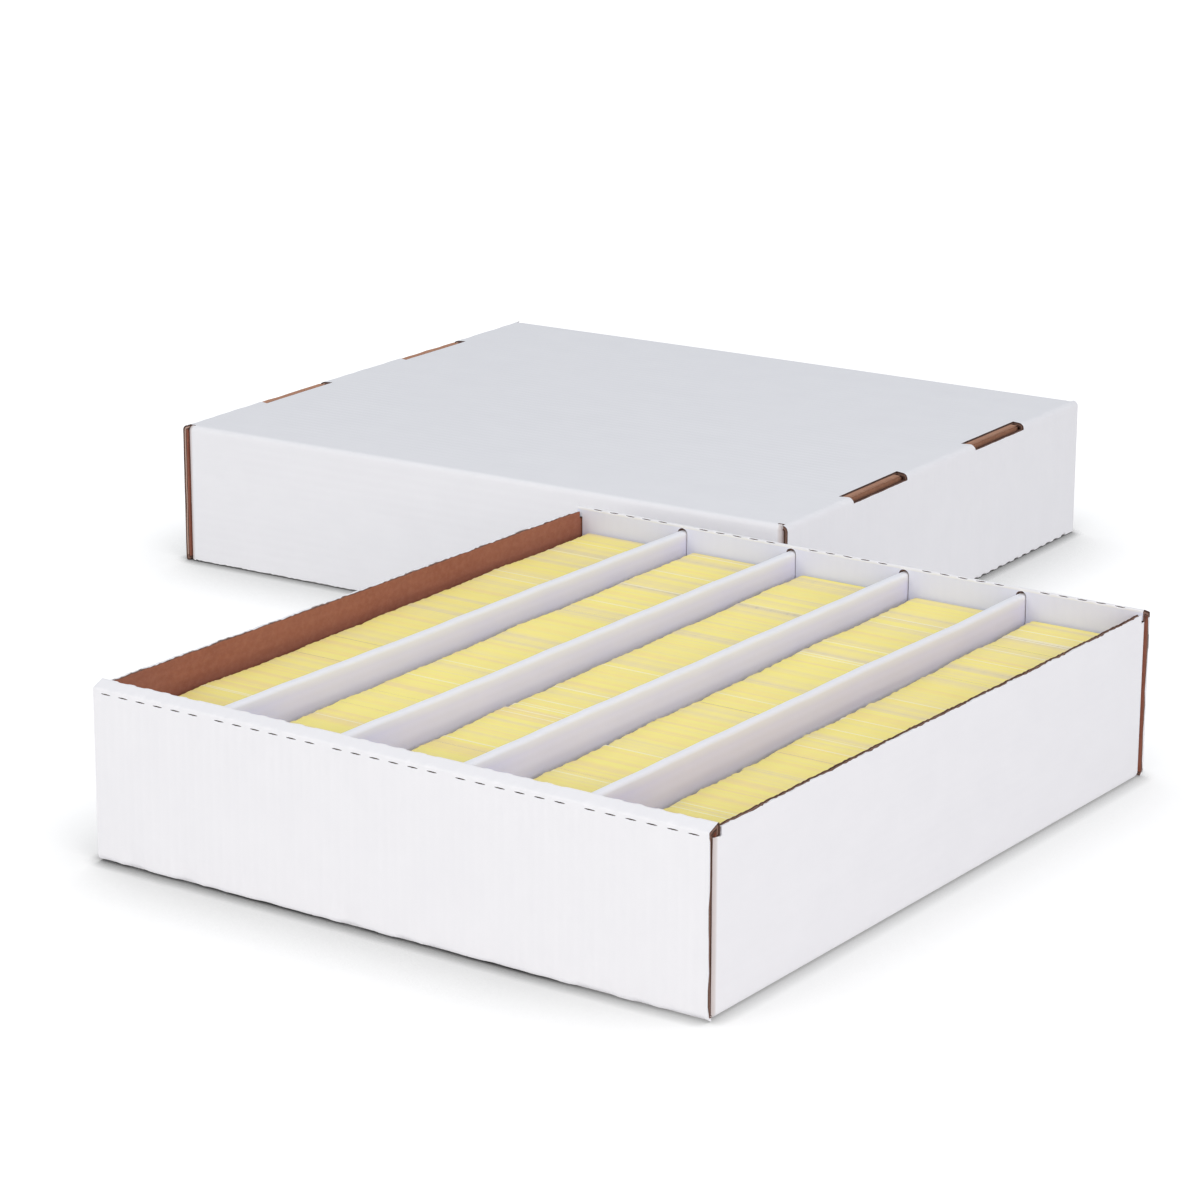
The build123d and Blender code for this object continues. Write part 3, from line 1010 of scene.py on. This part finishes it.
# the plain white at a corner flap's start, before the painted shade of its bend
corner_white = (0.86, 0.852, 0.877, 1)
card_tones = [
    (0.0, (0.44, 0.41, 0.42)),
    (0.05, (0.77, 0.70, 0.50)),
    (0.20, (0.845, 0.755, 0.46)),
    (0.42, (0.90, 0.805, 0.385)),
    (0.62, (0.925, 0.85, 0.315)),
    (0.80, (0.915, 0.79, 0.35)),
    (0.95, (0.88, 0.76, 0.41)),
    (1.0, (0.93, 0.90, 0.76)),
]


class Nodes:
    """A short way to write the nodes of a material or of the world."""

    def __init__(self, owner):
        owner.use_nodes = True
        self.owner, self.tree = owner, owner.node_tree

    def add(self, kind, inputs=(), **settings):
        node = self.tree.nodes.new(kind)
        for key, value in settings.items():
            setattr(node, key, value)
        for key, value in dict(inputs).items():
            self.set(node, key, value)
        return node

    def set(self, node, key, value):
        """Gives a node's input a value, or a link from another node's output."""
        if isinstance(value, bpy.types.NodeSocket):
            self.tree.links.new(value, node.inputs[key])
        else:
            node.inputs[key].default_value = value

    def math(self, operation, a, b=0.0):
        return self.add("ShaderNodeMath", {0: a, 1: b}, operation=operation).outputs[0]

    def times(self, a, b):
        return self.math("MULTIPLY", a, b)

    def left_of(self, share):
        """What a share leaves of 1."""
        return self.math("SUBTRACT", 1.0, share)

    def mix(self, share, a, b):
        return self.add("ShaderNodeMix", {0: share, 6: a, 7: b}, data_type="RGBA").outputs[2]

    def attribute(self, name, output="Vector"):
        return self.add("ShaderNodeAttribute", attribute_name=name).outputs[output]

    def part(self, vector, axis):
        return self.add("ShaderNodeSeparateXYZ", {0: vector}).outputs[axis]

    def noise(self, vector, scale, detail=2.0, roughness=0.5):
        inputs = {"Vector": vector, "Scale": scale, "Detail": detail, "Roughness": roughness}
        return self.add("ShaderNodeTexNoise", inputs).outputs["Fac"]

    def spread(self, value, start, end, low=0.0, high=1.0):
        """Runs from low to high while the value runs from start to end."""
        return self.add("ShaderNodeMapRange", {0: value, 1: start, 2: end, 3: low, 4: high}).outputs[0]

    def ramp(self, value, stops):
        node = self.add("ShaderNodeValToRGB", {"Fac": value})
        elements = node.color_ramp.elements
        while len(elements) < len(stops):
            elements.new(0.5)
        for element, (position, colour) in zip(elements, stops):
            element.position = position
            element.color = (*colour, 1)
        return node.outputs["Color"]

    def stretched(self, vector, scale):
        return self.add("ShaderNodeVectorMath", {0: vector, 1: scale}, operation="MULTIPLY").outputs[0]

    def bump(self, height, distance, normal=None):
        inputs = {"Height": height, "Distance": distance}
        if normal is not None:
            inputs["Normal"] = normal
        return self.add("ShaderNodeBump", inputs).outputs[0]

    def flute_wave(self, sheet):
        """The faint corrugation that the flutes print through a liner."""
        return self.math("SINE", self.times(self.part(sheet, 2), 2 * math.pi / flute_pitch))

    def shade(self, **inputs):
        """Sets the Principled shader's inputs, with _ for the spaces in their names."""
        for key, value in inputs.items():
            self.set(self.tree.nodes["Principled BSDF"], key.replace("_", " "), value)
        return self.owner


def white_liner(name, tones, crown=None):
    """Bleached liner: faint flute lines, mottle and fibres; another white within a reach of the crown, where
    light and shade are painted.
    """
    n = Nodes(bpy.data.materials.new(name))
    sheet = n.attribute("sheet")
    fibre = n.noise(n.stretched(sheet, (1.0, 1.0, 0.0)), 1.1, 4.0, 0.6)
    colour = n.mix(n.noise(sheet, 0.035, 3.0), *tones)
    if crown is not None:
        middle, reach, crown_colour = crown
        away = n.math("ABSOLUTE", n.math("SUBTRACT", n.part(sheet, 0), middle))
        colour = n.mix(n.spread(away, reach * 0.4, reach), crown_colour, colour)
    colour = n.mix(n.times(fibre, 0.05), colour, white_fibre)
    normal = n.bump(fibre, fibre_bump, n.bump(n.flute_wave(sheet), flute_wash))
    return n.shade(Base_Color=colour, Normal=normal, Roughness=0.62, Specular_IOR_Level=0.35)


def kraft_liner(name, lift):
    """Unbleached liner: red-brown, with darker fibres and faint flute lines. lift makes it paler, as painted
    light.
    """
    n = Nodes(bpy.data.materials.new(name))
    dark, plain, fibres, pale = (
        tuple(min(1.0, part * share) for part, share in zip(tone, lift)) + (1,) for tone in kraft_tones
    )
    sheet = n.attribute("sheet")
    fibre = n.noise(n.stretched(sheet, (1.0, 0.35, 0.0)), 1.6, 5.0, 0.65)
    patches = n.noise(sheet, 0.018, 2.0)
    specks = n.spread(n.noise(sheet, 0.24, 3.0, 0.6), 0.42, 0.66)
    colour = n.mix(n.noise(sheet, 0.06, 4.0), dark, plain)
    for share, amount, tone in (fibre, 0.48, fibres), (patches, 0.35, pale), (specks, 0.22, pale):
        colour = n.mix(n.times(share, amount), colour, tone)
    normal = n.bump(fibre, kraft_fibre_bump, n.bump(n.flute_wave(sheet), kraft_wash))
    return n.shade(Base_Color=colour, Normal=normal, Roughness=0.82, Specular_IOR_Level=0.2)


def cut_paper(name, scale, tones):
    """The cut edge of the liners, or of the flutes between them."""
    n = Nodes(bpy.data.materials.new(name))
    grain = n.noise(n.attribute("sheet"), scale, 3.0, 0.6)
    colour = n.mix(grain, *tones)
    return n.shade(
        Base_Color=colour, Normal=n.bump(grain, grain_bump), Roughness=0.9, Specular_IOR_Level=0.1
    )


def card_stock():
    """Cards: pale yellow cut edges, with a whiter, pinker or greyer card here and there."""
    n = Nodes(bpy.data.materials.new("card_stock"))
    mottle = n.noise(n.attribute("card"), 0.12, 2.0)
    value = n.math("ADD", n.attribute("tint", "Fac"), n.times(n.math("SUBTRACT", mottle, 0.5), 0.25))
    return n.shade(
        Base_Color=n.ramp(value, card_tones), Normal=n.bump(mottle, fibre_bump), Roughness=0.5,
        Specular_IOR_Level=0.4,
    )


# Studio, in metres

# Camera, fitted to the photographed corners of the tray and the lid. Its place is in millimetres.
picture_size = 1200       # pixels
camera_angles = (34.83, 16.29, 0.24)    # azimuth, elevation and roll
camera_place = (1194, -1756, 752)
camera_focal = 3849       # pixels
sensor_width = 36.0
view_near, view_far = 0.05, 60

# Floor. The shade is what the camera sees on it round the object.
floor_size = 30.0
floor_drop = 0.0002       # it lies this far under the object
floor_grey = 0.82
floor_glow, far_glow = 0.70, 0.86       # its own light close to the origin and far from it
glow_start, glow_end = 0.6, 2.0
camera_dimming = 0.4      # the camera sees this much less of the lamps' light on it
contact_reach, contact_power, contact_floor = 0.0105, 1.35, 0.33
shade_reach, shade_power = 0.11, 0.7
side_shade = 0.65         # right of the tray the shade has this share of its depth
side_start, side_end = 0.09, 0.21

# Light
world_light = 0.675
world_colour = (0.945, 0.973, 1.0, 1)
lamps = {                 # place, what it points at, size, power in watts, and colour
    "key": ((-0.5, -3.2, 1.5), (-0.1, 0.1, 0.05), (2.2, 1.6), 32.5, (1.0, 0.96, 0.905)),
    "fill": ((3.0, -1.1, 1.3), (0, 0.1, 0.05), (2.0, 1.6), 33.5, (1.0, 0.93, 0.905)),
    "top": ((-0.2, 0.6, 3.2), (-0.2, 0.2, 0), (3.0, 3.0), 8, (0.65, 0.78, 1.0)),
}


def add_object(name, data):
    piece = bpy.data.objects.new(name, data)
    bpy.context.scene.collection.objects.link(piece)
    return piece


def make_floor():
    """A pale floor, white to the camera away from the object, that keeps the object's shadow."""
    data = bpy.data.meshes.new("floor")
    corners = [(x * floor_size, y * floor_size, 0) for x, y in ((-1, -1), (1, -1), (1, 1), (-1, 1))]
    data.from_pydata(corners, [], [(0, 1, 2, 3)])
    floor = add_object("floor", data)
    floor.location.z = -floor_drop
    n = Nodes(bpy.data.materials.new("studio_floor"))
    rays = n.add("ShaderNodeLightPath").outputs
    camera_ray = rays["Is Camera Ray"]
    seen = n.math("MAXIMUM", camera_ray, rays["Is Glossy Ray"])
    seen = n.math("MAXIMUM", seen, rays["Is Transmission Ray"])
    near, wide = (
        n.add("ShaderNodeAmbientOcclusion", {"Distance": reach}, samples=6).outputs["AO"]
        for reach in (contact_reach, shade_reach)
    )
    contact = n.math("MAXIMUM", n.math("POWER", near, contact_power), contact_floor)
    shade = n.times(contact, n.math("POWER", wide, shade_power))
    place = n.add("ShaderNodeNewGeometry").outputs["Position"]
    side = n.spread(n.part(place, 0), side_start, side_end, 1.0, side_shade)
    shade = n.left_of(n.times(n.times(camera_ray, side), n.left_of(shade)))
    lit = n.times(shade, n.left_of(n.times(camera_ray, camera_dimming)))
    distance = n.add("ShaderNodeVectorMath", {0: place}, operation="LENGTH").outputs["Value"]
    glow = n.spread(distance, glow_start, glow_end, floor_glow, far_glow)
    data.materials.append(n.shade(
        Base_Color=n.mix(lit, (0, 0, 0, 1), (floor_grey, floor_grey, floor_grey, 1)), Roughness=0.9,
        Specular_IOR_Level=0.0, Emission_Color=(1, 1, 1, 1),
        Emission_Strength=n.times(n.times(seen, glow), shade),
    ))


def make_world():
    """A pale sky as light, which the camera sees as white."""
    world = bpy.data.worlds.new("studio")
    bpy.context.scene.world = world
    n = Nodes(world)
    light = n.tree.nodes["Background"]
    n.set(light, "Color", world_colour)
    n.set(light, "Strength", world_light)
    rays = n.add("ShaderNodeLightPath").outputs
    seen = n.math("MAXIMUM", rays["Is Camera Ray"], rays["Is Transmission Ray"])
    white = n.add("ShaderNodeBackground", {"Color": (1, 1, 1, 1)})
    both = n.add("ShaderNodeMixShader", {0: seen, 1: light.outputs[0], 2: white.outputs[0]})
    n.set(n.tree.nodes["World Output"], "Surface", both.outputs[0])


def make_lamp(name, place, target, size, power, colour):
    lamp = bpy.data.lights.new(name, "AREA")
    lamp.shape = "RECTANGLE"
    lamp.size, lamp.size_y = size
    lamp.energy, lamp.color = power, colour
    piece = add_object(name, lamp)
    piece.location = place
    piece.rotation_euler = (Vector(target) - Vector(place)).to_track_quat("-Z", "Y").to_euler()


def make_camera():
    azimuth, elevation, turn = (math.radians(a) for a in camera_angles)
    flat = math.cos(elevation)
    forward = Vector((-math.sin(azimuth) * flat, math.cos(azimuth) * flat, -math.sin(elevation)))
    right = Vector((math.cos(azimuth), math.sin(azimuth), 0))
    up = right.cross(forward)
    turned_right = right * math.cos(turn) + up * math.sin(turn)
    turned_up = up * math.cos(turn) - right * math.sin(turn)
    camera = bpy.data.cameras.new("camera")
    camera.sensor_width = sensor_width
    camera.lens = camera_focal / picture_size * sensor_width
    camera.clip_start, camera.clip_end = view_near, view_far
    piece = add_object("camera", camera)
    axes = Matrix((turned_right, turned_up, -forward)).transposed().to_4x4()
    piece.matrix_world = Matrix.Translation(Vector(camera_place) * MM) @ axes
    bpy.context.scene.camera = piece


def main():
    kraft, cut = kraft_liner("kraft_liner", kraft_lift), cut_paper("cut_paper", cut_grain, cut_tones)
    flutes = cut_paper("flute_paper", flute_grain, flute_tones)
    papers = [kraft, cut, flutes]
    white = white_liner("white_liner", outer_white)
    # inner walls: the white liner with painted shade
    inner = white_liner("shaded_inner_liner", shaded_inner_white)
    # corner flaps: their liner darkened round the bend as painted shade
    shaded_bend_paper = white_liner("shaded_bend_liner", bend_shade_white, (0.0, bend_shade_reach, corner_white))
    papers_of = {
        "board": [white, *papers],
        # a lit copy of the flute paper: painted light
        "pale": [white, kraft, cut, cut_paper("lit_flute_paper", flute_grain, lit_flute_tones)],
        "flap": [shaded_bend_paper, *papers],
        "inner": [inner, *papers],
    }
    tray_low, tray_high = box_mm("tray_front_outer_wall")
    tray_width, tray_length = tray_high[0] - tray_low[0], 2 * box_mm("tray_back_outer_wall")[1][1]
    side_height = box_mm("tray_left_wall")[1][2]
    tray = Blank(
        "tray", (tray_length, tray_width, side_height, side_height - fold_drop), fold_rise, False,
        tray_tabs, divider_places, (np.eye(3), np.zeros(3)),
    )
    make_blank(tray, {
        "base": "floor", "fold": "top_fold", "plus_x": "right", "minus_x": "left", "plus_y": "back",
        "minus_y": "front",
    }, papers_of)
    divider_top = side_height - divider_drop
    # the insert's liner: painted light at the crowns, painted shade on the faces
    crown = (divider_profile(divider_top).u[-1] / 2, crown_reach, lit_crown_white)
    insert_papers = [white_liner("shaded_insert_liner", insert_shade_white, crown), *papers]
    for number in range(rows - 1):
        make_divider(number, divider_top, insert_papers)
    for number in range(rows):
        make_row_floor(number, insert_papers)

    lid_depth = box_mm("lid_top")[1][2]
    turn = np.array(Matrix.Rotation(math.radians(lid_turn), 3, "Z") @ Matrix.Rotation(math.pi, 3, "Y"))
    lid_length = tray_length + 2 * lid_end_play + 2 * roll
    lid_width = tray_width + 2 * lid_side_play + 2 * board
    lid = Blank(
        "lid", (lid_length, lid_width, lid_depth - lid_side_drop, lid_depth), 0.0, True,
        lid_tabs, [], (turn, np.array([lid_x, lid_y, lid_depth])),
    )
    # the lid's inner walls: their kraft made paler as painted light
    papers_of["inner"] = [inner, kraft_liner("lit_kraft_liner", lit_kraft_lift), cut, flutes]
    make_blank(lid, {
        "base": "top", "fold": "rim", "plus_x": "front", "minus_x": "back", "plus_y": "left",
        "minus_y": "right",
    }, papers_of)
    stock = card_stock()
    for number in range(rows):
        make_cards(number, stock)

    make_camera()
    make_floor()
    make_world()
    for name, settings in lamps.items():
        make_lamp(name, *settings)
    bpy.context.scene.view_settings.view_transform = "Standard"


main()
